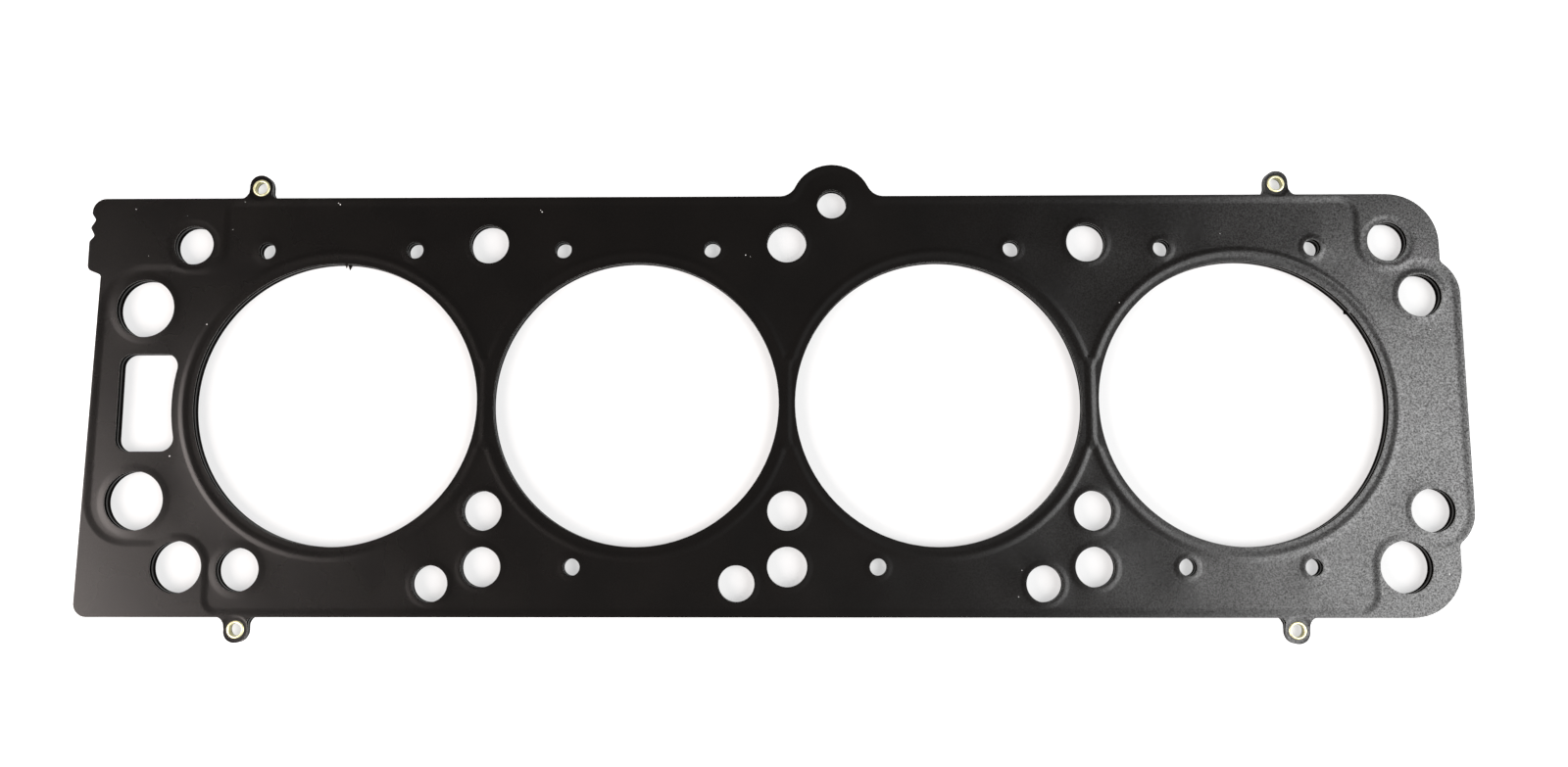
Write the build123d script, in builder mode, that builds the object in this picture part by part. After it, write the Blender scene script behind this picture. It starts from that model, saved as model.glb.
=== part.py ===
"""Multi-layer steel cylinder head gasket for a four-cylinder engine."""
import os
from math import atan, degrees

from build123d import *

os.makedirs("parts", exist_ok=True)

# Sizes are in millimetres. X runs along the row of bores, Y across it, Z up from the
# engine block. The origin is the middle of the row of bores, on the block face.

# layers
sheet_thickness = 0.25  # each embossed outer sheet
spacer_thickness = 1.0  # plain plate between them
half_bead_height = 0.5  # step from the sealed field up to the margin
full_bead_height = 0.5  # ring around each bore
spring_gap = 0.7  # play between a sheet's field and the spacer
bead_slope = 1.5  # width of every bead's side, seen from above

# bores, in one row
bore_diameter = 88.0
bridge_width = 5.0  # between neighbouring bores
bore_land = 1.2  # flat strip between a bore and its bead
crest_width = 0.6  # flat top of a bead
deck_width = 21.0  # from a bore to the long edges

# bridges, where two rings become one straight rib
rib_length = 27.0  # full height over this length
rib_fade = 1.2  # ramp at the end of each ring

# head bolt holes: three columns between the bores and one at each end
bolt_hole_diameter = 12.2
bolt_inset = 15.0  # from the long edges
dowel_hole_diameter = 15.8

# oil and water passages
drain_hole_diameter = 12.1
drain_drop = 11.0  # inwards of a bore's edge
feed_hole_diameter = 11.1
feed_shift = 15.4  # along X from a bolt column
feed_inset = 10.0
jet_diameter = 5.2  # small water holes
jet_rear_inset = 16.9
jet_front_shift = 18.9  # along X from a bore's centre
end_port_diameter = 18.1
end_port_shift = 14.1  # outwards of the left end bolts
end_port_inset = 35.1
right_port_diameter = 13.3
right_port_shift = 9.0
right_port_inset = 32.0
corner_port_diameter = 13.2
corner_port_shift = 18.9
corner_port_inset = 14.2
slot_shift = 21.1
slot_offset = 0.4  # along Y
slot_height = 30.4
slot_corner = 4.0
slot_wall = 6.7  # between the slot and the first bore

# outline
ear_x = 14.06
ear_inset = 2.57
ear_radius = 12.7
ear_hole_diameter = 9.1
right_bulge_radius = 12.4
edge_fillet = 1.8
lug_radius = 4.1
lug_neck = 7.6
lug_reach = 3.7  # from the edge to an eyelet's centre

# raised rims around the holes in the field, whose slope ends inside the hole's edge
rim_height = 0.4
rim_width = 2.1
rim_overrun = 0.1
seal_inset = 1.7  # from the outline to the middle of the half bead
corner_seal = 9.3  # from an end bolt to the middle of the half bead around it
recess_slope = 1.3  # around the rear end bolts
recess_land = 0.8

# eyelets that hold the layers together at the lugs
eyelet_hole_diameter = 4.5
eyelet_clearance = 0.05
eyelet_wall = 0.2
eyelet_flange_diameter = 5.7
eyelet_flange = 0.3
dimple_land = 0.1
dimple_slope = 1.0

# levels, up from the block face
field_z = max(half_bead_height, full_bead_height)  # lower face of the bottom sheet's field
margin_z = field_z - half_bead_height
crest_z = field_z - full_bead_height
spacer_z = field_z + sheet_thickness + spring_gap
middle_z = spacer_z + spacer_thickness / 2
backing = 3.0  # solid behind the forming surface

bore_radius = bore_diameter / 2
bore_pitch = bore_diameter + bridge_width
bore_xs = [(i - 1.5) * bore_pitch for i in range(4)]
bridge_xs = [(i - 1) * bore_pitch for i in range(3)]
bead_inner = bore_radius + bore_land
crest_inner = bead_inner + bead_slope
crest_outer = crest_inner + crest_width
bead_outer = crest_outer + bead_slope
bead_taper = degrees(atan(bead_slope / half_bead_height))
rib_taper = degrees(atan(rib_fade / full_bead_height))
bridge_clear = 2 * (bridge_width - bore_land)
bolt_radius = bolt_hole_diameter / 2
dimple_radius = eyelet_flange_diameter / 2 + dimple_land

edge_y = bore_radius + deck_width
bolt_y = edge_y - bolt_inset
end_x = 2 * bore_pitch
left_port = (-end_x - end_port_shift, edge_y - end_port_inset)
right_port = (end_x + right_port_shift, edge_y - right_port_inset)
ear = (ear_x, edge_y - ear_inset)
lug_y = edge_y + lug_reach
lugs = {
    "rear_left": (20.0 - end_x, lug_y),
    "rear_right": (end_x - 33.1, lug_y),
    "front_left": (18.9 - end_x, -lug_y),
    "front_right": (end_x - 33.1, -lug_y),
}

bolt_spots = [(x, y) for x in bridge_xs for y in (-bolt_y, bolt_y)]
rear_end_bolts = [(-end_x, bolt_y), (end_x, bolt_y)]
dowel_spots = [(-end_x, -bolt_y), (end_x, -bolt_y)]
jet_rear = [(x + s * bore_pitch / 4, edge_y - jet_rear_inset) for x in bore_xs for s in (-1, 1)]
del jet_rear[4]  # none beside the ear
jet_front = [(x - jet_front_shift, -bolt_y) for x in bore_xs[1:]]
jet_front += [(bore_xs[3] + jet_front_shift, -bolt_y)]

# every round hole that has a raised rim, by its diameter
rimmed = [
    (bolt_hole_diameter, bolt_spots),
    (drain_hole_diameter, [(x, drain_drop - bore_radius) for x in bridge_xs]),
    (feed_hole_diameter, [(x - feed_shift, feed_inset - edge_y) for x in bridge_xs]),
    (jet_diameter, jet_rear + jet_front),
    (end_port_diameter, [left_port, (left_port[0], -left_port[1])]),
    (right_port_diameter, [right_port, (right_port[0], -right_port[1])]),
    (corner_port_diameter, [(corner_port_shift - end_x, corner_port_inset - edge_y)]),
    (ear_hole_diameter, [ear]),
]

# outline of every layer
with BuildSketch() as outline:
    with BuildLine():
        FilletPolyline(
            (end_x + 15.7, edge_y),
            (end_x + 16.4, -edge_y),
            (-end_x - 30.6, -edge_y),
            (-end_x - 28.8, edge_y - 24.0),
            (-end_x - 33.2, edge_y - 23.1),
            (-end_x - 33.2, edge_y - 13.7),
            (-end_x - 31.1, edge_y - 11.3),
            (-end_x - 33.2, edge_y - 9.0),
            (-end_x - 31.1, edge_y - 6.4),
            (-end_x - 33.2, edge_y - 3.8),
            (-end_x - 31.5, edge_y),
            radius=(15.5, 15.4, 4.2, 1.0, 1.6, 1.0, 0.8, 0.6, 0.8, 0.8, 3.0),
            close=True,
        )
    make_face()
    with Locations((right_port[0], 0)):
        SlotCenterToCenter(2 * right_port[1], 2 * right_bulge_radius, rotation=90)
    shoulder = right_port[1] + right_bulge_radius
    for y in (-shoulder, shoulder):
        fillet(outline.vertices().filter_by_position(Axis.X, end_x + 15, end_x + 17)
               .filter_by_position(Axis.Y, y - 3.5, y + 3.5), edge_fillet)
    with Locations(ear):
        Circle(ear_radius)
    fillet(outline.vertices().filter_by_position(Axis.X, ear_x - 15, ear_x + 15)
           .filter_by_position(Axis.Y, edge_y - 0.1, edge_y + 0.1), 3.0)
    for x, y in lugs.values():
        side = 1 if y > 0 else -1
        with Locations((x, y)):
            Circle(lug_radius)
        with Locations((x, side * (edge_y + lug_reach / 2 - 0.5))):
            Rectangle(lug_neck, lug_reach + 1)
        fillet(outline.vertices().filter_by_position(Axis.X, x - lug_radius, x + lug_radius)
               .filter_by_position(Axis.Y, side * edge_y - 0.1, side * edge_y + 0.1), 1.2)

# all the holes through the layers, but for the eyelets'
with BuildSketch() as openings:
    with Locations([(x, 0) for x in bore_xs]):
        Circle(bore_radius)
    for diameter, spots in rimmed + [
        (bolt_hole_diameter, rear_end_bolts),
        (dowel_hole_diameter, dowel_spots),
    ]:
        with Locations(spots):
            Circle(diameter / 2)

# coolant slot at the left end, its inner side concentric with the first bore
with BuildSketch() as slot:
    with Locations((-end_x - slot_shift, slot_offset)):
        Rectangle(slot_height, slot_height, align=(Align.MIN, Align.CENTER))
    with Locations((bore_xs[0], 0)):
        Circle(bore_radius + slot_wall, mode=Mode.SUBTRACT)
    fillet(slot.vertices(), slot_corner)

# edge of the sealed field, along the top of the half bead
field_edge = edge_y - seal_inset
bulge_seal = right_bulge_radius - seal_inset
with BuildSketch() as field:
    with BuildLine():
        FilletPolyline(
            (end_x - corner_seal, -field_edge),
            (end_x - corner_seal, corner_seal - bolt_y),
            (end_x + 3.0, corner_seal - bolt_y),
            (end_x + 7.5, -right_port[1] - bulge_seal),
            (right_port[0] + bulge_seal, -right_port[1] - bulge_seal),
            (right_port[0] + bulge_seal, right_port[1] + bulge_seal),
            (end_x + 7.5, right_port[1] + bulge_seal),
            (end_x + 3.0, bolt_y - 8.5),
            (end_x - corner_seal, bolt_y - 8.5),
            (end_x - corner_seal, field_edge),
            (10.2 - end_x, field_edge),
            (10.2 - end_x, bolt_y - 8.5),
            (-end_x - 2.0, bolt_y - 8.5),
            (-end_x - 7.0, bolt_y - 7.0),
            (-end_x - 27.3, bolt_y - 7.0),
            (-end_x - 28.5, 7.2 - bolt_y),
            (-end_x - 7.0, 7.2 - bolt_y),
            (-end_x - 2.0, corner_seal - bolt_y),
            (corner_seal - end_x, corner_seal - bolt_y),
            (corner_seal - end_x, -field_edge),
            radius=(4, 8.5, 4, 4, 10.2, 10.2, 4, 4, 8, 3.2, 3.2, 7, 4, 4, 13, 13, 4, 4, 8.5, 4),
            close=True,
        )
    make_face()
    with Locations(ear):
        Circle(ear_radius - seal_inset)
    fillet(field.vertices().filter_by_position(Axis.X, ear_x - 15, ear_x + 15)
           .filter_by_position(Axis.Y, field_edge - 0.1, field_edge + 0.1), 4.5)
    offset(amount=bead_slope / 2, mode=Mode.REPLACE)

# forming surface: a backed block whose lower face is the lower face of the bottom sheet
with BuildPart() as form:
    with BuildSketch(Plane.XY.offset(margin_z)):
        add(outline.sketch)
    extrude(amount=half_bead_height + backing)
    with BuildSketch(Plane.XY.offset(margin_z)):
        add(field.sketch)
    extrude(amount=half_bead_height, taper=bead_taper, mode=Mode.SUBTRACT)
    # ring bead around each bore
    for x in bore_xs:
        with BuildSketch(Plane.XZ):
            with BuildLine():
                Polyline(
                    (x + bead_inner, field_z),
                    (x + crest_inner, crest_z),
                    (x + crest_outer, crest_z),
                    (x + bead_outer, field_z),
                    close=True,
                )
            make_face()
        revolve(axis=Axis((x, 0, 0), (0, 0, 1)))
    # the rings give way to one straight rib in each bridge
    with BuildSketch(Plane.XY.offset(crest_z)):
        with Locations([(x, 0) for x in bridge_xs]):
            Rectangle(bridge_clear, rib_length)
    extrude(amount=full_bead_height, taper=rib_taper, mode=Mode.SUBTRACT)
    for x in bridge_xs:
        with BuildSketch(Plane.XY.offset(crest_z)):
            with Locations((x, 0)):
                Rectangle(crest_width, rib_length)
        with BuildSketch(Plane.XY.offset(field_z)):
            with Locations((x, 0)):
                Rectangle(crest_width + 2 * bead_slope, rib_length + 2 * bead_slope)
        loft(ruled=True)
    # raised rims around the holes in the field
    for diameter, spots in rimmed:
        with Locations([(x, y, field_z - rim_height) for x, y in spots]):
            Cone(diameter / 2 - rim_overrun, diameter / 2 + rim_width, rim_height,
                 align=(Align.CENTER, Align.CENTER, Align.MIN))
    # sunk seats around the rear end bolts, level with the field
    with Locations([(x, y, margin_z) for x, y in rear_end_bolts]):
        Cone(bolt_radius + recess_land + recess_slope, bolt_radius + recess_land,
             half_bead_height, align=(Align.CENTER, Align.CENTER, Align.MIN),
             mode=Mode.SUBTRACT)
    # dimples that bring the sheet down on the spacer at the eyelets
    with Locations([(x, y, margin_z) for x, y in lugs.values()]):
        Cone(dimple_radius + dimple_slope, dimple_radius, half_bead_height + spring_gap,
             align=(Align.CENTER, Align.CENTER, Align.MIN), mode=Mode.SUBTRACT)

# embossed sheet that lies on the block
with BuildPart() as bottom_layer:
    add(form.part)
    add(form.part.moved(Location((0, 0, sheet_thickness))), mode=Mode.SUBTRACT)
    with BuildSketch(Plane.XY.offset(margin_z)):
        add(openings.sketch)
        add(slot.sketch)
        with Locations(list(lugs.values())):
            Circle(eyelet_hole_diameter / 2)
    extrude(amount=half_bead_height + backing, mode=Mode.SUBTRACT)
bottom_layer.part.label = "bottom_layer"
export_step(bottom_layer.part, "parts/bottom_layer.step")

# plain spacer plate in the middle of the stack
with BuildPart() as spacer_layer:
    with BuildSketch(Plane.XY.offset(spacer_z)):
        add(outline.sketch)
        add(openings.sketch, mode=Mode.SUBTRACT)
        add(slot.sketch, mode=Mode.SUBTRACT)
        with Locations(list(lugs.values())):
            Circle(eyelet_hole_diameter / 2, mode=Mode.SUBTRACT)
    extrude(amount=spacer_thickness)
spacer_layer.part.label = "spacer_layer"
export_step(spacer_layer.part, "parts/spacer_layer.step")

# embossed sheet under the cylinder head, a mirror image of the bottom one
with BuildPart() as top_layer:
    add(mirror(bottom_layer.part, about=Plane.XY.offset(middle_z)))
top_layer.part.label = "top_layer"
export_step(top_layer.part, "parts/top_layer.step")

# eyelets: a barrel through the three layers with a flange at each end
for side, (x, y) in lugs.items():
    barrel_radius = eyelet_hole_diameter / 2 - eyelet_clearance
    grip = spacer_thickness + 2 * sheet_thickness
    with BuildPart() as eyelet:
        with Locations((x, y, middle_z)):
            Cylinder(barrel_radius, grip + 2 * eyelet_flange)
        with Locations([(x, y, middle_z + s * (grip + eyelet_flange) / 2) for s in (-1, 1)]):
            Cylinder(eyelet_flange_diameter / 2, eyelet_flange)
        with Locations((x, y, middle_z)):
            Hole(barrel_radius - eyelet_wall)
        fillet(eyelet.edges().filter_by(GeomType.CIRCLE).group_by(SortBy.RADIUS)[-1]
               .sort_by(Axis.Z)[0::3], eyelet_flange / 3)
    eyelet.part.label = f"eyelet_{side}"
    export_step(eyelet.part, f"parts/eyelet_{side}.step")
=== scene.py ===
"""Multi-layer steel cylinder head gasket, seen from above on a white table."""

import math

import bpy
import numpy as np
from mathutils import Matrix, Vector
from mathutils.geometry import delaunay_2d_cdt


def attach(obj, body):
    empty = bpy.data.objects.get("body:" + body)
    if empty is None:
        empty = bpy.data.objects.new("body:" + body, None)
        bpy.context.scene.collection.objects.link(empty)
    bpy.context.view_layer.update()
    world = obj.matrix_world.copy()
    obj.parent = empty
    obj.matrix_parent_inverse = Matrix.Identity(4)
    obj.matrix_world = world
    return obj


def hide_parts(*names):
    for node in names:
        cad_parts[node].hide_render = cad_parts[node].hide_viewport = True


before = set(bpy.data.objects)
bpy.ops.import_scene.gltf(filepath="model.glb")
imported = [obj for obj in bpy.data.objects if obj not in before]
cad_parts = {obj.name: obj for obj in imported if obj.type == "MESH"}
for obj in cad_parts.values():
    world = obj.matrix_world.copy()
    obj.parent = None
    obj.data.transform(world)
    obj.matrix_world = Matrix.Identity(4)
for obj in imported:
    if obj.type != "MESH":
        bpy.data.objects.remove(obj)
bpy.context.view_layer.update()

# Sizes are in millimetres, as in the CAD source, and become metres in the meshes.
MM = 0.001

# bores and the bead around each
BORE_RADIUS = 44.0
BORE_PITCH = 93.0
BORES = [((i - 1.5) * BORE_PITCH, 0.0) for i in range(4)]
BRIDGES = [(i - 1) * BORE_PITCH for i in range(3)]
BEAD_INNER, BEAD_CREST, BEAD_OUTER = 45.2, 47.0, 48.8
CREST_HALF = 0.2  # half width of the flat top of a bead
RIB_HALF_LENGTH = 13.5
RIB_HALF_WIDTH = 1.8
RIB_FLARE = 0.9  # widening of a rib towards its ends
RIB_FADE = 1.5  # length of the ramp at each end of a rib
RING_FADE = 1.2  # length of the ramp at each end of a ring

# levels of the stack
STACK_HEIGHT = 3.9
SHEET = 0.25
SPACER = 1.0
BEAD_HEIGHT = 0.25
RIM_HEIGHT = 0.2
SPRING_GAP = 0.95
SEAL_SLOPE = 2.6
FIELD_Z = STACK_HEIGHT - BEAD_HEIGHT

# round holes
BOLT_RADIUS = 6.1
BOLT_ROW = 50.0
END_BOLT = 186.0
DOWEL_RADIUS = 7.9
SEAT_RADIUS, SEAT_SLOPE = 6.7, 1.9  # sunk seats around the rear end bolts
JET_RADIUS = 2.6
JET_SHIFT = 23.25  # of the rear row of small water holes, from the middle of a bore
REAR_END_BOLTS = [(-END_BOLT, BOLT_ROW), (END_BOLT, BOLT_ROW)]
DOWELS = [(-END_BOLT, -BOLT_ROW), (END_BOLT, -BOLT_ROW)]
EAR = (14.06, 62.43)
EAR_RADIUS = 12.66
RIMMED = (
    [(x, s * BOLT_ROW, BOLT_RADIUS) for x in BRIDGES for s in (-1, 1)]
    + [(x, -33.0, 6.05) for x in BRIDGES]
    + [(x - 15.4, -55.0, 5.55) for x in BRIDGES]
    + [(-200.1, 29.9, 9.05), (-200.1, -29.9, 9.05)]
    + [(195.0, 33.0, 6.65), (195.0, -33.0, 6.65)]
    + [(-167.1, -50.8, 6.6), (*EAR, 4.55)]
    + [(x + s * JET_SHIFT, 48.1, JET_RADIUS)
       for x, _ in BORES for s in (-1, 1) if x + s * JET_SHIFT != JET_SHIFT]
    + [(x - 18.9, -BOLT_ROW, JET_RADIUS) for x, _ in BORES[1:]]
    + [(BORES[3][0] + 18.9, -BOLT_ROW, JET_RADIUS)]
)


def rim(x):
    """Land and slope of the raised rim round a hole; they are wider at the left end."""
    return (0.1, 2.4) if x < -150 else (0.3, 1.7)


# lugs with their eyelets
LUGS = {
    "rear_left": (-166.0, 68.6),
    "rear_right": (152.9, 68.7),
    "front_left": (-167.1, -68.7),
    "front_right": (152.9, -68.8),
}
LUG_HALF_WIDTH = 3.65
LUG_REACH = 3.98  # from an eyelet's centre to the lug's end
LUG_FILLET, LUG_ROUND = 2.0, 3.6
EYELET_HOLE = 2.25
DIMPLE_FLAT, DIMPLE_SLOPE = 3.3, 1.4

# outline and seal line: corner points with the radius of each corner, clockwise
HALF_WIDTH = 65.0


def lug(side):
    """Corners of a lug's neck and round end, on the rear or the front edge."""
    x, y = LUGS[side]
    s = 1 if y > 0 else -1
    half = [
        (-LUG_HALF_WIDTH, HALF_WIDTH - abs(y), LUG_FILLET),
        (-LUG_HALF_WIDTH, LUG_REACH, LUG_ROUND),
    ]
    whole = half + [(-u, v, r) for u, v, r in reversed(half)]
    return [(x + s * u, y + s * v, r) for u, v, r in whole]


PLATE = [
    *lug("rear_left"),
    (1.17, HALF_WIDTH, 5.4),
    (6.18, EAR[1] + EAR_RADIUS, EAR_RADIUS),
    (21.94, EAR[1] + EAR_RADIUS, EAR_RADIUS),
    (26.95, HALF_WIDTH, 5.4),
    *lug("rear_right"),
    (201.7, HALF_WIDTH, 15.5),
    (201.8, 43.5, 1.8),
    (207.4, 39.2, 12.3),
    (207.4, -38.8, 12.3),
    (202.3, -43.1, 1.8),
    (202.4, -HALF_WIDTH, 15.4),
    *lug("front_right"),
    *lug("front_left"),
    (-216.6, -HALF_WIDTH, 4.2),
    (-214.8, 40.6, 1.0),
    (-219.1, 42.3, 2.0),
    (-219.1, 51.3, 1.3),
    (-217.5, 53.1, 0.9),
    (-218.9, 55.7, 0.9),
    (-217.35, 58.2, 1.0),
    (-218.7, 60.2, 1.0),
    (-218.4, HALF_WIDTH, 4.2),
]
SEAL = [
    (-176.7, -63.3, 4.0),
    (-176.7, -40.7, 8.5),
    (-188.0, -40.7, 4.0),
    (-193.0, -42.8, 4.0),
    (-214.5, -42.8, 13.0),
    (-213.3, 43.0, 13.0),
    (-193.0, 43.0, 4.0),
    (-188.0, 41.5, 4.0),
    (-175.8, 41.5, 7.0),
    (-175.8, 63.3, 3.2),
    (2.6, 63.3, 4.6),
    (6.5, 73.4, 10.9),
    (21.6, 73.4, 10.9),
    (25.5, 63.3, 4.6),
    (176.7, 63.3, 5.0),
    (176.7, 41.5, 8.0),
    (189.0, 41.5, 4.0),
    (193.5, 43.7, 4.0),
    (205.8, 43.7, 10.2),
    (205.8, -43.7, 10.2),
    (193.5, -43.7, 4.0),
    (189.0, -40.7, 4.0),
    (176.7, -40.7, 8.5),
    (176.7, -63.3, 5.5),
]

# coolant slot
SLOT_LEFT, SLOT_Y, SLOT_HALF, SLOT_CORNER = -207.1, 0.4, 15.2, 4.0
SLOT_WALL = 6.7  # between the slot and the first bore


# ---------------------------------------------------------------- plane curves
def circle(x, y, r, n=48):
    turn = np.arange(n) * 2 * math.pi / n
    return np.c_[x + r * np.cos(turn), y + r * np.sin(turn)]


def arc(cx, cy, r, start, end, step=0.12):
    n = max(2, int(abs(end - start) / step) + 1)
    turn = np.linspace(start, end, n)
    return np.c_[cx + r * np.cos(turn), cy + r * np.sin(turn)]


def rounded(corners, step=3.0):
    """Closed path through corner points (x, y, radius), with points along its straights."""
    n = len(corners)
    path = []
    for i, (x, y, r) in enumerate(corners):
        corner = Vector((x, y))
        before = (Vector(corners[i - 1][:2]) - corner).normalized()
        after = (Vector(corners[(i + 1) % n][:2]) - corner).normalized()
        half = before.angle(after) / 2
        reach = r / math.tan(half)
        centre = corner + (before + after).normalized() * (r / math.sin(half))
        start, end = corner + before * reach, corner + after * reach
        a0 = math.atan2(start.y - centre.y, start.x - centre.x)
        a1 = math.atan2(end.y - centre.y, end.x - centre.x)
        turn = (a1 - a0 + math.pi) % (2 * math.pi) - math.pi
        path.append(arc(centre.x, centre.y, r, a0, a0 + turn))
    full = []
    for i, piece in enumerate(path):
        full.extend(piece)
        gap = path[(i + 1) % n][0] - piece[-1]
        steps = int(np.hypot(*gap) / step)
        full.extend(piece[-1] + gap * k / steps for k in range(1, steps))
    return np.array(full)


def offset_path(path, distance):
    """Closed clockwise path moved outwards by distance, along its own normals."""
    along = np.roll(path, -1, axis=0) - np.roll(path, 1, axis=0)
    along /= np.hypot(along[:, 0], along[:, 1])[:, None]
    return path + distance * np.c_[-along[:, 1], along[:, 0]]


def signed_distance(points, path):
    """Distance to a closed path, negative inside it."""
    best = np.full(len(points), 1e9)
    inside = np.zeros(len(points), bool)
    x, y = points[:, 0], points[:, 1]
    for a, b in zip(path, np.roll(path, -1, axis=0)):
        d = b - a
        t = np.clip(((x - a[0]) * d[0] + (y - a[1]) * d[1]) / (d @ d), 0, 1)
        best = np.minimum(best, np.hypot(x - a[0] - t * d[0], y - a[1] - t * d[1]))
        crosses = (a[1] > y) != (b[1] > y)
        if a[1] != b[1]:
            inside ^= crosses & (x < a[0] + (y - a[1]) * d[0] / d[1])
    return np.where(inside, -best, best)


def joined(paths):
    """Points of closed paths, and the edges that run round each."""
    points, edges = [], []
    for path in paths:
        first = len(points)
        points.extend(Vector(p) for p in path)
        edges += [(first + i, first + (i + 1) % len(path)) for i in range(len(path))]
    return points, edges


# ---------------------------------------------------------------- embossed surface
plate_path = rounded(PLATE)
seal_path = rounded(SEAL)


def slot_path():
    """Coolant slot, whose inner side bulges round the first bore."""
    inner = BORE_RADIUS + SLOT_WALL
    bore_x = BORES[0][0]
    left = SLOT_LEFT + SLOT_CORNER
    half = math.pi / 2
    ends = []
    for y in (SLOT_Y + SLOT_HALF - SLOT_CORNER, SLOT_Y - SLOT_HALF + SLOT_CORNER):
        x = bore_x - math.sqrt((inner + SLOT_CORNER) ** 2 - y**2)
        ends.append((x, y, math.atan2(y, x - bore_x) % (4 * half)))
    (rear_x, rear_y, rear), (front_x, front_y, front) = ends
    return np.vstack([
        arc(left, rear_y, SLOT_CORNER, 2 * half, half),
        arc(rear_x, rear_y, SLOT_CORNER, half, rear - 2 * half),
        arc(bore_x, 0, inner, rear, front, 0.03)[1:-1],
        arc(front_x, front_y, SLOT_CORNER, front - 2 * half, -half),
        arc(left, front_y, SLOT_CORNER, -half, -2 * half),
    ])


def ease(t):
    t = np.clip(t, 0, 1)
    return t * t * (3 - 2 * t)


def flank(t):
    """Straighter slope than ease, with less rounding at its ends."""
    return (2 * np.clip(t, 0, 1) + ease(t)) / 3


def relief(p, seat=1.0, dish=1.0):
    """Height above the field, in mm, of the embossed sheet at plan points p.

    The seats around the rear end bolts and the dishes round the eyelets are sunk by the
    given shares of their depths.
    """
    x, y = p[:, 0], p[:, 1]
    seal = signed_distance(p, seal_path)
    margin = BEAD_HEIGHT * ease(seal / SEAL_SLOPE + 0.5)
    for cx, cy in REAR_END_BOLTS:
        rise = ease((np.hypot(x - cx, y - cy) - SEAT_RADIUS) / SEAT_SLOPE)
        margin = margin * (1 - seat * (1 - rise))
    height = margin
    # ring beads, which stop where the straight ribs begin
    bridge = np.min([np.abs(x - b) for b in BRIDGES], axis=0)
    in_bridge = (bridge < 6) & (np.abs(y) < 25)
    ramp_in = ease((np.abs(y) - RIB_HALF_LENGTH + RING_FADE) / RING_FADE)
    stop = np.where(in_bridge, ramp_in, 1)
    for cx, cy in BORES:
        r = np.hypot(x - cx, y - cy)
        up = flank((r - BEAD_INNER) / (BEAD_CREST - CREST_HALF - BEAD_INNER))
        down = flank((BEAD_OUTER - r) / (BEAD_OUTER - BEAD_CREST - CREST_HALF))
        height = np.maximum(height, BEAD_HEIGHT * np.minimum(up, down) * stop)
    half = RIB_HALF_WIDTH + RIB_FLARE * ease((np.abs(y) - RIB_HALF_LENGTH + 3) / 3.5)
    across = flank((half - bridge) / (RIB_HALF_WIDTH - CREST_HALF))
    along = ease((RIB_HALF_LENGTH + RIB_FADE - np.abs(y)) / RIB_FADE)
    height = np.maximum(height, BEAD_HEIGHT * across * along)
    for cx, cy, r in RIMMED:
        land, slope = rim(cx)
        d = np.hypot(x - cx, y - cy) - r - land
        height = np.maximum(height, RIM_HEIGHT * flank(1 - d / slope))
    for cx, cy in LUGS.values():
        d = np.hypot(x - cx, y - cy)
        sink = dish * ease(1 - (d - DIMPLE_FLAT) / DIMPLE_SLOPE)
        height = height - (BEAD_HEIGHT + SPRING_GAP) * sink
    return height


HOLES = (
    [(x, y, BORE_RADIUS, 200) for x, y in BORES]
    + [(x, y, r, 64) for x, y, r in RIMMED]
    + [(x, y, BOLT_RADIUS, 64) for x, y in REAR_END_BOLTS]
    + [(x, y, DOWEL_RADIUS, 72) for x, y in DOWELS]
    + [(x, y, EYELET_HOLE, 32) for x, y in LUGS.values()]
)
EDGE_ROLL, EDGE_DROP = 0.15, 0.06  # width and height of the rolled cut edges
EDGE_TILT = 0.12  # outward lean of the normals along a rolled edge

# dust on the coating, and two flakes of coating that overhang a bore: (x, y, size)
DUST = [
    (-204.9, 61.6, 0.14), (-200.0, 46.6, 0.1), (-180.5, 24.8, 0.17), (-189.8, -16.2, 0.2),
    (-141.0, 63.3, 0.14), (-140.4, 62.9, 0.19), (-77.2, 60.9, 0.13), (-76.7, 60.3, 0.17),
    (-170.5, 63.8, 0.12), (-12.8, 46.3, 0.16), (-11.3, 45.8, 0.1), (102.7, 30.9, 0.13),
    (134.6, 52.6, 0.13), (69.6, -58.8, 0.12), (70.8, -50.9, 0.11), (178.2, -57.8, 0.13),
    (198.5, -52.0, 0.16), (197.6, 22.3, 0.12), (-174.0, 55.0, 0.09), (-188.5, 59.4, 0.09),
]
FLAKES = [(0, 1.527, 1.5, 0.015), (3, 0.695, 0.7, 0.02)]  # bore, angle, reach, half width


def bore_edge(index, turn):
    """Radius of a bore at the given angles, with the flakes of coating."""
    radius = np.full(len(turn), BORE_RADIUS)
    for bore, angle, reach, half in FLAKES:
        if bore == index:
            radius -= reach * np.clip(1 - np.abs(turn - angle) / half, 0, 1)
    return radius


def bore_path(index):
    turn = np.sort(np.r_[np.arange(200) * 2 * math.pi / 200,
                         [angle + k * half for bore, angle, _, half in FLAKES
                          if bore == index for k in (-1, -0.4, 0, 0.4, 1)]])
    x, y = BORES[index]
    radius = bore_edge(index, turn)
    return np.c_[x + radius * np.cos(turn), y + radius * np.sin(turn)]


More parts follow.
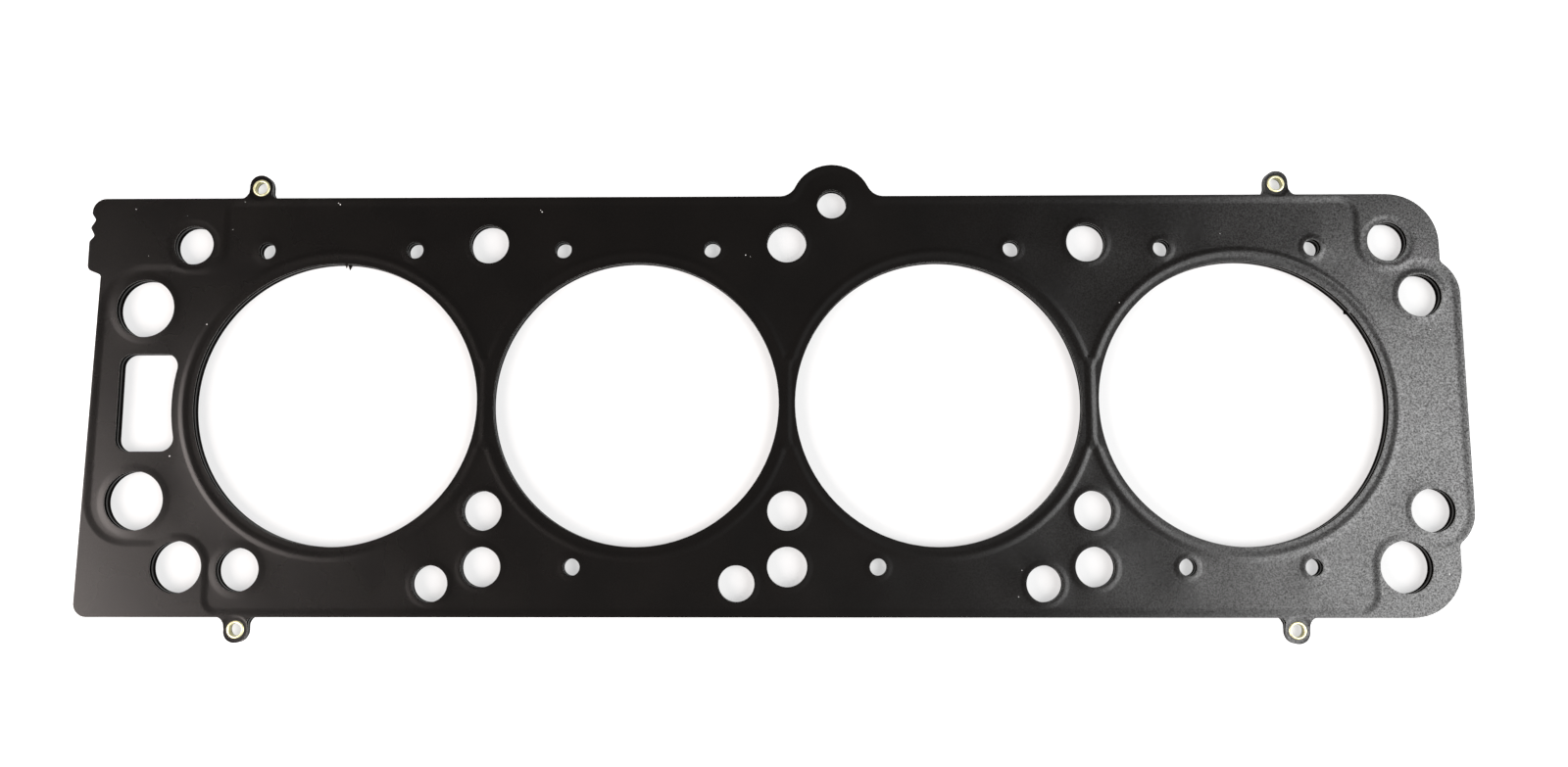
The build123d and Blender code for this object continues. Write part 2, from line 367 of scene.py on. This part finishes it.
def guides():
    """Closed paths along which the embossed sheets bend."""
    paths = [offset_path(seal_path, d) for d in np.linspace(-1.3, 1.3, 9)]
    paths += [circle(x, y, r, 180) for x, y in BORES
              for r in np.linspace(BEAD_INNER, BEAD_OUTER, 11)]
    paths += [circle(x, y, r + rim(x)[0] + u * rim(x)[1], 64 if r > 3 else 40)
              for x, y, r in RIMMED for u in np.linspace(0, 1, 6)]
    paths += [circle(x, y, r, 64) for x, y in REAR_END_BOLTS
              for r in np.linspace(SEAT_RADIUS, SEAT_RADIUS + SEAT_SLOPE, 6)]
    paths += [circle(x, y, DIMPLE_FLAT + u * DIMPLE_SLOPE, 40)
              for x, y in LUGS.values() for u in np.linspace(0, 1, 5)]
    for x in BRIDGES:
        reach = RIB_HALF_LENGTH + RIB_FADE
        for w in np.linspace(0.1, RIB_HALF_WIDTH, 5):
            rows = np.linspace(-reach, reach, 21)
            left, right = np.full(21, x - w), np.full(21, x + w)
            paths.append(np.r_[np.c_[left, rows], np.c_[right, rows[::-1]]])
    return paths


def plan_mesh(bends):
    """Triangles of the plate in plan, bounded by its outline and holes."""
    holes = [circle(x, y, r, n) for x, y, r, n in HOLES] + [slot_path()]
    bend_paths = []
    if bends:
        holes[:len(BORES)] = [bore_path(i) for i in range(len(BORES))]
        bend_paths += [circle(x, y, r + EDGE_ROLL, n) for x, y, r, n in HOLES]
        bend_paths += [circle(x, y, r, 6) for x, y, r in DUST]
        bend_paths += [offset_path(slot_path(), EDGE_ROLL), offset_path(plate_path, -EDGE_ROLL)]
        bend_paths += guides()
    points, edges = joined([plate_path, *holes, *bend_paths])
    face = list(range(len(plate_path)))
    verts, _, faces, *_ = delaunay_2d_cdt(points, edges, [face], 1, 1e-5)
    xy = np.array([tuple(v) for v in verts])
    tris = np.array(faces)
    mid = xy[tris].mean(axis=1)
    keep = np.ones(len(tris), bool)
    for i, (x, y, r, _) in enumerate(HOLES):
        if bends and i < len(BORES):
            r = bore_edge(i, np.arctan2(mid[:, 1] - y, mid[:, 0] - x))
        keep &= np.hypot(mid[:, 0] - x, mid[:, 1] - y) > r * 0.9995
    near = np.abs(mid[:, 0] + 198) < 12
    in_slot = signed_distance(mid[near], slot_path()) < 0
    keep[np.flatnonzero(near)[in_slot]] = False
    # the guide circles round the lugs reach past the outline
    beyond = np.abs(mid[:, 1]) > HALF_WIDTH
    keep[np.flatnonzero(beyond)[signed_distance(mid[beyond], plate_path) > 0]] = False
    tris = tris[keep]
    used, flat = np.unique(tris, return_inverse=True)
    return xy[used], flat.reshape(-1, 3)


# ---------------------------------------------------------------- pieces
def rim_edges(tris):
    """Directed edges that only one triangle has: the outline and the holes."""
    edges = np.vstack([tris[:, [0, 1]], tris[:, [1, 2]], tris[:, [2, 0]]])
    key = np.sort(edges, axis=1)
    _, first, count = np.unique(key, axis=0, return_index=True, return_counts=True)
    return edges[first[count == 1]]


def plate(name, xy, tris, upper, lower, upper_normals, lower_normals, roll, band, materials):
    """Closed sheet between two surfaces over one plan, with its cut edges as walls.

    The walls take the second material in a band of the given height along their upper edge, and
    the third below it.
    """
    n = len(xy)
    rims = rim_edges(tris)
    along = xy[rims[:, 1]] - xy[rims[:, 0]]
    away = np.c_[along[:, 1], -along[:, 0]] / np.hypot(along[:, 0], along[:, 1])[:, None]
    outward = np.zeros((n, 3))
    np.add.at(outward[:, :2], rims[:, 0], away)
    np.add.at(outward[:, :2], rims[:, 1], away)
    length = np.linalg.norm(outward, axis=1)
    on_rim = length > 1e-6
    outward[on_rim] /= length[on_rim, None]
    upper, lower = upper.copy(), lower.copy()
    upper[on_rim] -= max(roll, 0)
    lower[on_rim] -= min(roll, 0)
    upper_normals, lower_normals = upper_normals.copy(), lower_normals.copy()
    tilted = upper_normals if roll > 0 else lower_normals
    if roll:
        tilted[on_rim] += EDGE_TILT * outward[on_rim]
        tilted[on_rim] /= np.linalg.norm(tilted[on_rim], axis=1)[:, None]
    ring = np.flatnonzero(on_rim)
    verts = np.vstack([np.c_[xy, upper], np.c_[xy, lower], np.c_[xy, upper - band][ring]]) * MM
    middle = np.zeros(n, int)
    middle[ring] = 2 * n + np.arange(len(ring))
    a, b = rims.T
    walls = np.vstack([
        np.c_[a, middle[a], middle[b], b], np.c_[middle[a], a + n, b + n, middle[b]],
    ])
    faces = tris.tolist() + (tris[:, ::-1] + n).tolist() + walls.tolist()
    mesh = bpy.data.meshes.new(name)
    mesh.from_pydata(verts.tolist(), [], faces)
    mesh.polygons.foreach_set("use_smooth", np.ones(len(faces), bool))
    index = np.zeros(len(faces), np.int32)
    index[2 * len(tris):] = 1
    index[2 * len(tris) + len(rims):] = 2
    if len(materials) > 3:
        mid = xy[tris].mean(axis=1)
        dusty = np.any([np.hypot(mid[:, 0] - x, mid[:, 1] - y) < r for x, y, r in DUST], axis=0)
        index[:len(tris)][dusty] = 3
    mesh.polygons.foreach_set("material_index", index)
    wall_normals = outward[np.vstack([np.c_[a, a, b, b]] * 2).ravel()]
    loops = np.vstack([
        upper_normals[tris.ravel()], lower_normals[tris[:, ::-1].ravel()], wall_normals,
    ])
    mesh.normals_split_custom_set(loops.tolist())
    for material in materials:
        mesh.materials.append(material)
    mesh.update()
    piece = bpy.data.objects.new(name, mesh)
    bpy.context.collection.objects.link(piece)
    return piece


FLANK_SHADE = 0.58  # share of the true slopes that the shading shows
SUNK_SHADES = 0.5, 0.12  # the same for the bolt seats and for the lugs' dishes


def slope_normals(xy, step=0.02):
    """Normals for shading; the coating evens out the beads' flanks, so these are flatter."""
    dx, dy = (
        FLANK_SHADE * (relief(xy + shift, *SUNK_SHADES) - relief(xy - shift, *SUNK_SHADES))
        for shift in ([step, 0], [0, step])
    )
    normals = np.c_[-dx, -dy, np.full(len(xy), 2 * step)]
    return normals / np.linalg.norm(normals, axis=1)[:, None]


def lathe(name, profile, x, y, materials, inner, segments=64):
    """Ring turned from a closed profile of (radius, height) points.

    The bands that start at a profile point in inner take the second material.
    """
    turn = np.arange(segments) * 2 * math.pi / segments
    verts = [(x + r * math.cos(a), y + r * math.sin(a), z) for a in turn for r, z in profile]
    m = len(profile)
    faces = [
        (i * m + j, i * m + (j + 1) % m,
         ((i + 1) % segments) * m + (j + 1) % m, ((i + 1) % segments) * m + j)
        for i in range(segments) for j in range(m)
    ]
    mesh = bpy.data.meshes.new(name)
    mesh.from_pydata([tuple(c * MM for c in v) for v in verts], [], faces)
    mesh.polygons.foreach_set("use_smooth", np.ones(len(faces), bool))
    mesh.polygons.foreach_set("material_index", [int(j in inner) for j in range(m)] * segments)
    for material in materials:
        mesh.materials.append(material)
    mesh.update()
    piece = bpy.data.objects.new(name, mesh)
    bpy.context.collection.objects.link(piece)
    return piece


# ---------------------------------------------------------------- materials
def new_material(name):
    material = bpy.data.materials.new(name)
    material.use_nodes = True
    nodes, links = material.node_tree.nodes, material.node_tree.links
    return material, nodes, links, nodes["Principled BSDF"]


def noise(nodes, links, scale, detail, stretch=(1, 1, 1)):
    place = nodes.new("ShaderNodeTexCoord")
    mapping = nodes.new("ShaderNodeMapping")
    mapping.inputs["Scale"].default_value = stretch
    texture = nodes.new("ShaderNodeTexNoise")
    texture.inputs["Scale"].default_value = scale
    texture.inputs["Detail"].default_value = detail
    links.new(place.outputs["Object"], mapping.inputs["Vector"])
    links.new(mapping.outputs["Vector"], texture.inputs["Vector"])
    return texture


def ramp(nodes, links, source, stops):
    node = nodes.new("ShaderNodeValToRGB")
    node.color_ramp.elements[0].position = stops[0][0]
    node.color_ramp.elements[0].color = (*stops[0][1], 1)
    node.color_ramp.elements[1].position = stops[-1][0]
    node.color_ramp.elements[1].color = (*stops[-1][1], 1)
    for position, colour in stops[1:-1]:
        node.color_ramp.elements.new(position).color = (*colour, 1)
    links.new(source, node.inputs["Fac"])
    return node.outputs["Color"]


def between(nodes, links, source, low, high):
    """Value that follows a noise between two limits."""
    node = nodes.new("ShaderNodeMapRange")
    node.inputs["From Min"].default_value = 0.3
    node.inputs["From Max"].default_value = 0.7
    node.inputs["To Min"].default_value = low
    node.inputs["To Max"].default_value = high
    links.new(source, node.inputs["Value"])
    return node.outputs["Result"]


GRAIN_SCALE, PATCH_SCALE = 2000, 60
GRAIN_DEPTH = {"From Min": 0.03, "From Max": 0.2, "To Min": 0.03, "To Max": 0.33}  # from X, in m


def coated_steel():
    """Thin satin black rubber coating on steel, with a fine grain."""
    material, nodes, links, shader = new_material("coated_steel")
    grain = noise(nodes, links, GRAIN_SCALE, 2)
    patches = noise(nodes, links, PATCH_SCALE, 3)
    colour = ramp(nodes, links, patches.outputs["Fac"],
                  [(0.3, (0.0014, 0.0009, 0.0006)), (0.7, (0.0022, 0.0014, 0.0010))])
    links.new(colour, shader.inputs["Base Color"])
    # the grain shows more towards the right end
    place = nodes.new("ShaderNodeTexCoord")
    along = nodes.new("ShaderNodeSeparateXYZ")
    links.new(place.outputs["Object"], along.inputs["Vector"])
    depth = nodes.new("ShaderNodeMapRange")
    for limit, value in GRAIN_DEPTH.items():
        depth.inputs[limit].default_value = value
    links.new(along.outputs["X"], depth.inputs["Value"])
    swing = nodes.new("ShaderNodeMath")
    swing.operation = "MULTIPLY_ADD"
    links.new(between(nodes, links, grain.outputs["Fac"], -1.0, 1.0), swing.inputs[0])
    links.new(depth.outputs["Result"], swing.inputs[1])
    swing.inputs[2].default_value = 0.5
    links.new(swing.outputs[0], shader.inputs["Specular IOR Level"])
    links.new(between(nodes, links, patches.outputs["Fac"], 0.268, 0.283),
              shader.inputs["Roughness"])
    bump = nodes.new("ShaderNodeBump")
    bump.inputs["Strength"].default_value = 0.05
    bump.inputs["Distance"].default_value = 0.00003
    links.new(grain.outputs["Fac"], bump.inputs["Height"])
    links.new(bump.outputs["Normal"], shader.inputs["Normal"])
    return material


def plain_metal(name, colour, metallic, roughness):
    material, nodes, links, shader = new_material(name)
    marks = noise(nodes, links, 900, 3, (1, 1, 0.1))
    dark = tuple(0.75 * c for c in colour)
    links.new(ramp(nodes, links, marks.outputs["Fac"], [(0.3, dark), (0.7, colour)]),
              shader.inputs["Base Color"])
    shader.inputs["Metallic"].default_value = metallic
    shader.inputs["Roughness"].default_value = roughness
    return material


def plated_brass(name, low, high, metallic, roughness):
    """Pale plated brass with faint turning marks."""
    material, nodes, links, shader = new_material(name)
    marks = noise(nodes, links, 1200, 2)
    links.new(ramp(nodes, links, marks.outputs["Fac"], [(0.3, low), (0.7, high)]),
              shader.inputs["Base Color"])
    shader.inputs["Metallic"].default_value = metallic
    shader.inputs["Roughness"].default_value = roughness
    return material


def white_table(name, shade, table_glow):
    """White table that shows its own colour and a glow to the camera and takes a soft shadow;
    where the colour or glow is lower, the darker table is painted shade.
    """
    material, nodes, links, shader = new_material(name)
    shader.inputs["Base Color"].default_value = (shade, shade, shade, 1)
    shader.inputs["Roughness"].default_value = 0.9
    shader.inputs["Specular IOR Level"].default_value = 0.0
    path = nodes.new("ShaderNodeLightPath")
    seen = nodes.new("ShaderNodeMath")
    seen.operation = "MAXIMUM"
    links.new(path.outputs["Is Camera Ray"], seen.inputs[0])
    links.new(path.outputs["Is Glossy Ray"], seen.inputs[1])
    glow = nodes.new("ShaderNodeMath")
    glow.operation = "MULTIPLY"
    glow.inputs[1].default_value = table_glow
    links.new(seen.outputs[0], glow.inputs[0])
    shader.inputs["Emission Color"].default_value = (1, 1, 1, 1)
    links.new(glow.outputs[0], shader.inputs["Emission Strength"])
    return material


# ---------------------------------------------------------------- build
TOP_BAND, BOTTOM_BAND, SPACER_BAND = 0.1, 0.05, 0.5  # height of the upper band of each cut edge: burnished steel on the top sheet, a dim painted highlight on the spacer, and on the bottom sheet the same painted shade as the rest of its edge
coating = coated_steel()
burnished = plain_metal("burnished_edge", (0.42, 0.41, 0.39), 1.0, 0.4)
# dim painted highlight along the upper band of the spacer's edge, a lighter copy of the painted
# shade below it
spacer_painted_light_line = plain_metal("spacer_painted_light_line", (0.07, 0.069, 0.066), 1.0, 0.4)
# near-black painted shade on the cut edges below the burnished band, and on all of the bottom
# sheet's edge
shade_on_cut_edges = plain_metal("cut_edge_painted_shade", (0.006, 0.0055, 0.005), 1.0, 0.6)
# bare steel painted near black: painted shade on the spacer's faces and on its edge below the
# band
spacer_painted_shade = plain_metal("bare_steel", (0.01, 0.0098, 0.0095), 1.0, 0.5)
dust = plain_metal("dust", (0.8, 0.8, 0.8), 0.0, 0.9)
plan_xy, plan_tris = plan_mesh(bends=True)
surface = FIELD_Z + relief(plan_xy)
up = slope_normals(plan_xy)
top = plate("top_sheet", plan_xy, plan_tris, surface, surface - SHEET, up, -up, EDGE_DROP,
            TOP_BAND, [coating, burnished, shade_on_cut_edges, dust])
down = up * [1, 1, -1]
bottom = plate("bottom_sheet", plan_xy, plan_tris, STACK_HEIGHT - surface + SHEET,
               STACK_HEIGHT - surface, -down, down, -EDGE_DROP, BOTTOM_BAND,
               [coating, shade_on_cut_edges, shade_on_cut_edges])
flat_xy, flat_tris = plan_mesh(bends=False)
level = np.full(len(flat_xy), STACK_HEIGHT / 2)
straight_up = np.tile([0.0, 0.0, 1.0], (len(flat_xy), 1))
spacer = plate("spacer_plate", flat_xy, flat_tris, level + SPACER / 2, level - SPACER / 2,
               straight_up, -straight_up, 0, SPACER_BAND,
               [spacer_painted_shade, spacer_painted_light_line, spacer_painted_shade])
for piece, node, slot in (
    (top, "top_layer", "coated_steel"),
    (bottom, "bottom_layer", "coated_steel"),
    (spacer, "spacer_layer", "bare_steel"),
):
    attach(piece, "root")
    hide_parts(node)

# pale brass on the flanges; the bores take a darker copy of the same brass, painted shade inside
# the tubes
brass = [
    plated_brass("eyelet_brass", (0.68, 0.65, 0.38), (0.80, 0.77, 0.50), 0.6, 0.4),
    plated_brass("eyelet_bore_painted_shade", (0.30, 0.28, 0.13), (0.42, 0.40, 0.20), 1.0, 0.3),
]
seat = SPACER / 2 + SHEET  # from the middle of the stack to the face a flange sits on
flange = [
    (1.9, 0.0), (1.9, seat * 0.6), (1.91, seat + 0.08), (1.96, seat + 0.2), (2.06, seat + 0.26),
    (2.22, seat + 0.29), (2.4, seat + 0.27), (2.56, seat + 0.2), (2.66, seat + 0.1),
    (2.68, seat + 0.02), (2.3, seat), (2.2, seat - 0.05), (2.2, 0.0),
]
profile = [(r, STACK_HEIGHT / 2 + z) for r, z in flange[:-1]]
profile += [(r, STACK_HEIGHT / 2 - z) for r, z in reversed(flange[1:])]
# profile bands of the bores, which take the painted shade brass
BORE_SHADE_BANDS = (0, 1, len(profile) - 2, len(profile) - 1)
for side, (x, y) in LUGS.items():
    eyelet = lathe(f"rolled_eyelet_{side}", profile, x, y, brass, BORE_SHADE_BANDS)
    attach(eyelet, "root")
    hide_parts(f"eyelet_{side}")

# ---------------------------------------------------------------- table, lights, camera
TABLE_HALF = 3000
# zones of the table: white around the plate, and painted shade with less glow in the holes,
# under the plate and in the eyelets
WHITE, HOLE_PAINTED_SHADE, UNDER_PLATE_PAINTED_SHADE, EYELET_PAINTED_SHADE = range(4)
TABLE_ZONES = [  # name, shade and glow of each zone
    ("white_table", 0.4, 0.95),
    ("hole_painted_shade_table", 0.36, 0.54),
    ("under_plate_painted_shade_table", 0.02, 0.0),
    ("eyelet_painted_shade_table", 0.4, 0.6),
]


def table_top():
    """Flat table: white around the plate, with painted shade in its holes and eyelets, and a
    dark painted shade below it.
    """
    inner = offset_path(plate_path, -0.3)
    holes = [circle(x, y, r, n) for x, y, r, n in HOLES] + [slot_path()]
    square = [(i * TABLE_HALF, j * TABLE_HALF) for i, j in ((-1, -1), (1, -1), (1, 1), (-1, 1))]
    points, edges = joined([square, inner, *holes])
    verts, _, faces, *_ = delaunay_2d_cdt(points, edges, [], 1, 1e-5)
    mesh = bpy.data.meshes.new("table")
    mesh.from_pydata([(v.x * MM, v.y * MM, 0) for v in verts], [], faces)
    mid = np.array([np.mean([tuple(verts[i]) for i in face], axis=0) for face in faces])
    zone = np.where(signed_distance(mid, inner) < 0, UNDER_PLATE_PAINTED_SHADE, WHITE)
    hole_shade_mask = np.any([np.hypot(mid[:, 0] - x, mid[:, 1] - y) < r for x, y, r, _ in HOLES], axis=0)
    zone[hole_shade_mask | (signed_distance(mid, slot_path()) < 0)] = HOLE_PAINTED_SHADE
    eyelet_shade_mask = [np.hypot(mid[:, 0] - x, mid[:, 1] - y) < EYELET_HOLE for x, y in LUGS.values()]
    zone[np.any(eyelet_shade_mask, axis=0)] = EYELET_PAINTED_SHADE
    mesh.polygons.foreach_set("material_index", zone.astype(np.int32))
    for name, shade, glow in TABLE_ZONES:
        mesh.materials.append(white_table(name, shade, glow))
    mesh.update()
    board = bpy.data.objects.new("table", mesh)
    bpy.context.collection.objects.link(board)
    return board


table_top()


def softbox(name, place, target, size, power, colour):
    light = bpy.data.lights.new(name, "AREA")
    light.shape = "RECTANGLE"
    light.size, light.size_y = size
    light.energy = power
    light.color = colour
    lamp = bpy.data.objects.new(name, light)
    lamp.location = place
    lamp.rotation_euler = (Vector(target) - Vector(place)).to_track_quat("-Z", "Y").to_euler()
    bpy.context.collection.objects.link(lamp)


softbox("left_softbox", (-0.82, -0.36, 0.385), (0, 0, 0), (0.95, 0.95), 22.0, (1.1, 0.99, 0.95))
softbox("right_softbox", (0.977, -0.2, 0.923), (0, 0, 0), (1.01, 1.01), 27.6, (1, 1, 1))

world = bpy.data.worlds.new("studio")
world.use_nodes = True
world.node_tree.nodes["Background"].inputs["Color"].default_value = (1, 1, 1, 1)
world.node_tree.nodes["Background"].inputs["Strength"].default_value = 0.112
bpy.context.scene.world = world
bpy.context.scene.view_settings.view_transform = "Standard"

# pinhole camera over the front edge; its focal length and centre are in pixels
WIDTH, HEIGHT, SENSOR = 1600, 783, 36.0
FOCAL, CENTRE_X, CENTRE_Y = 1255.4, 795.5, 391.8
CAMERA_AT = (2.8, -39.6, FIELD_Z + 375.6)
TILT = (-0.1204, 0.0134, -0.0010)  # rotation vector, in radians
camera_data = bpy.data.cameras.new("camera")
camera_data.sensor_width = SENSOR
camera_data.lens = FOCAL * SENSOR / WIDTH
camera_data.shift_x = (WIDTH / 2 - CENTRE_X) / WIDTH
camera_data.shift_y = (CENTRE_Y - HEIGHT / 2) / WIDTH
camera_data.clip_start, camera_data.clip_end = 0.01, 20
turn = Matrix.Rotation(Vector(TILT).length, 3, Vector(TILT))
flip = Matrix.Diagonal((1, -1, -1))
to_camera = flip @ turn @ flip
camera = bpy.data.objects.new("camera", camera_data)
camera.matrix_world = Matrix.LocRotScale(
    Vector(CAMERA_AT) * MM, to_camera.transposed().to_quaternion(), None)
bpy.context.collection.objects.link(camera)
bpy.context.scene.camera = camera
